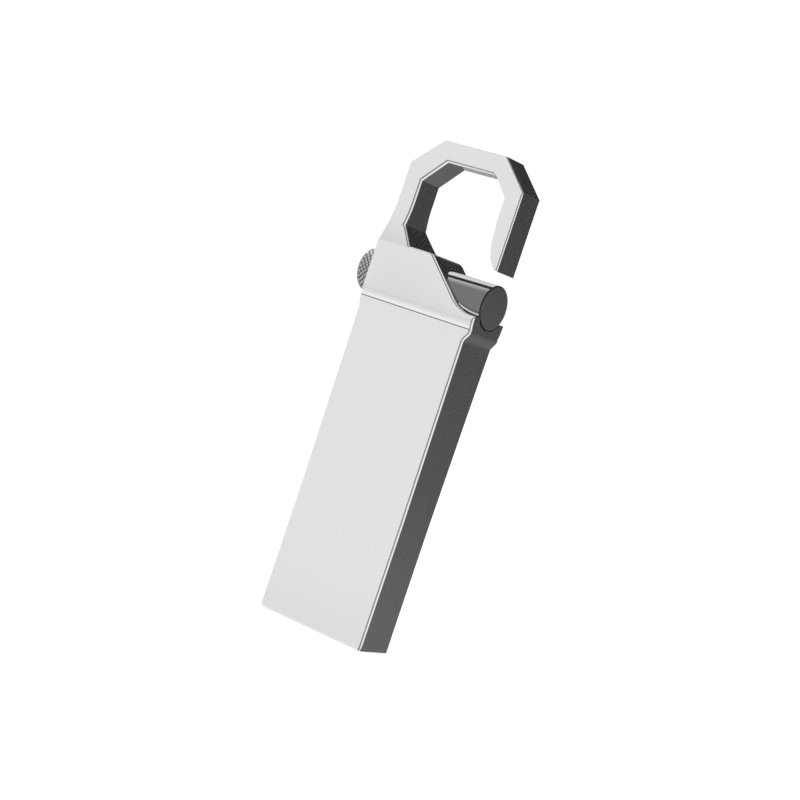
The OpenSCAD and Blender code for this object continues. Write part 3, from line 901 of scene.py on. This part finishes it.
def barrel_sky(rows):
    """A card along X, mostly to the left, that the gate's round pieces show; rows are (angle, tone).

    The angle runs round the barrel from 0 at the front to 90 on top, and the card stands where the
    barrel mirrors the view at that angle: the view less twice its part along the barrel's normal.
    """
    view, reach, left, right = np.array([-0.551, 0.834, 0.02]), 0.18, (-0.3, 0, 0), (0.03, 0, 0)
    places = []
    for angle, tone in rows:
        a = math.radians(angle)
        normal = np.array([0, -math.cos(a), math.sin(a)])
        centre = np.array([0, 0, GATE_Z * MM]) + reach * (view - 2 * (view @ normal) * normal)
        places.append((centre + left, centre + right, tone))
    return card("barrel_sky", places)


def ledge_glint(tone):
    """A bright ribbon that lies on the cradle's ledge, along its ellipse, for the barrel to mirror."""
    arc = ellipse_arc(SWEEP_CENTRE, SWEEP_RADII - 0.01, 244.6, 270, 16)
    line = np.vstack([arc, [[HEAD_RIGHT - 0.05, CRADLE_Z + 0.01]]]) * MM
    return card("ledge_glint", [((x, -0.00215, z), (x, -0.00195, z), tone) for x, z in line])


def light_the_studio():
    """An even white surround, a pale floor, cards for the metal to mirror, and a soft lamp."""
    scene = bpy.context.scene
    scene.view_settings.view_transform = "Standard"
    world = bpy.data.worlds.new("studio")
    world.use_nodes = True
    world.node_tree.nodes["Background"].inputs["Color"].default_value = (1, 1, 1, 1)
    world.node_tree.nodes["Background"].inputs["Strength"].default_value = 1.1
    scene.world = world
    pale_floor()
    right_side = 0.00605
    upright_card("dark_back_card", 12, 0.26, -0.2, 0.38, [
        (0.0005, 0.112), (0.015, 0.106), (0.031, 0.097), (0.038, 0.088), (0.05, 0.068), (0.08, 0.06),
        (0.19, 0.032), (0.5, 0.03)])
    floor_card("dark_floor_right", right_side, 0.3, [
        (-0.003, 0.17), (0.02, 0.17), (0.15, 0.115), (0.4, 0.11)])
    floor_card("dark_floor_back", -0.35, right_side, [
        (0.006, 0.17), (0.12, 0.17), (0.28, 0.42), (0.6, 0.42)])
    floor_card("front_floor", -2, 0.006, [(-3, 1.1), (-0.3, 1.105), (-0.04, 1.13), (-0.003, 1.05)])
    light_the_gate()
    soft_lamp()


def pale_floor():
    """The floor, which gives a little light of its own so that it stays near white."""
    floor = bpy.data.materials.new("floor")
    floor.use_nodes = True
    shader = shader_of(floor.node_tree)
    shader.inputs["Base Color"].default_value = (0.75, 0.75, 0.75, 1)
    shader.inputs["Roughness"].default_value = 0.8
    shader.inputs["Specular IOR Level"].default_value = 0
    shader.inputs["Emission Color"].default_value = (1, 1, 1, 1)
    shader.inputs["Emission Strength"].default_value = 0.4
    r = 3.0
    ground = polygon_mesh("floor", [(-r, -r, 0), (r, -r, 0), (r, r, 0), (-r, r, 0)], [[[0, 1, 2, 3]]])
    stage_piece("floor", ground, floor, seen=True)


def light_the_gate():
    """Two cards that only the barrel and the knob mirror: a graded sky with a dark line, and a glint."""
    round_pieces = bpy.data.collections.new("round_pieces")
    for name in ("barrel", "knob"):
        round_pieces.objects.link(bpy.data.objects[name])
    sky = barrel_sky([
        (88, 0.5), (84, 0.6), (80, 0.8), (70, 1.75), (60, 2.8), (55.1, 3.4), (54.9, 0.03),
        (51.3, 0.03), (51.1, 5.6), (47.5, 4.9), (43, 3), (39, 2.15), (33, 1.4), (30, 1.15)])
    for piece in (sky, ledge_glint(4.0)):
        piece.light_linking.receiver_collection = round_pieces


def soft_lamp():
    """A weak, wide lamp from the upper left front, which no reflection shows."""
    lamp = bpy.data.lights.new("soft_top", "AREA")
    lamp.shape = "RECTANGLE"
    lamp.size = lamp.size_y = 0.5
    lamp.energy = 1.0
    top = bpy.data.objects.new("soft_top", lamp)
    top.visible_glossy = False
    top.location = (-0.25, -0.3, 0.55)
    top.rotation_mode = "QUATERNION"
    top.rotation_quaternion = (Vector((0, 0, 0.02)) - top.location).to_track_quat("-Z", "Y")
    bpy.context.scene.collection.objects.link(top)


# ---------------------------------------------------------------- build

make_camera()
for subpart in frame["record"]["subparts"]:
    paint(NODES[subpart["node"]], subpart["material_slot"])
casting()
gate()
return_spring()
BROKEN_EDGES = {
    "plug_carrier": 0.06, "epoxy_mould": 0.08, "module_board": 0.02, "contact_pads": 0.01,
    "capacitors": 0.04, "resistors": 0.04, "knob_screw": 0.03, "adhesive_pad": 0.015}
for kept, width in BROKEN_EDGES.items():
    ease_edges(kept, width)
light_the_studio()
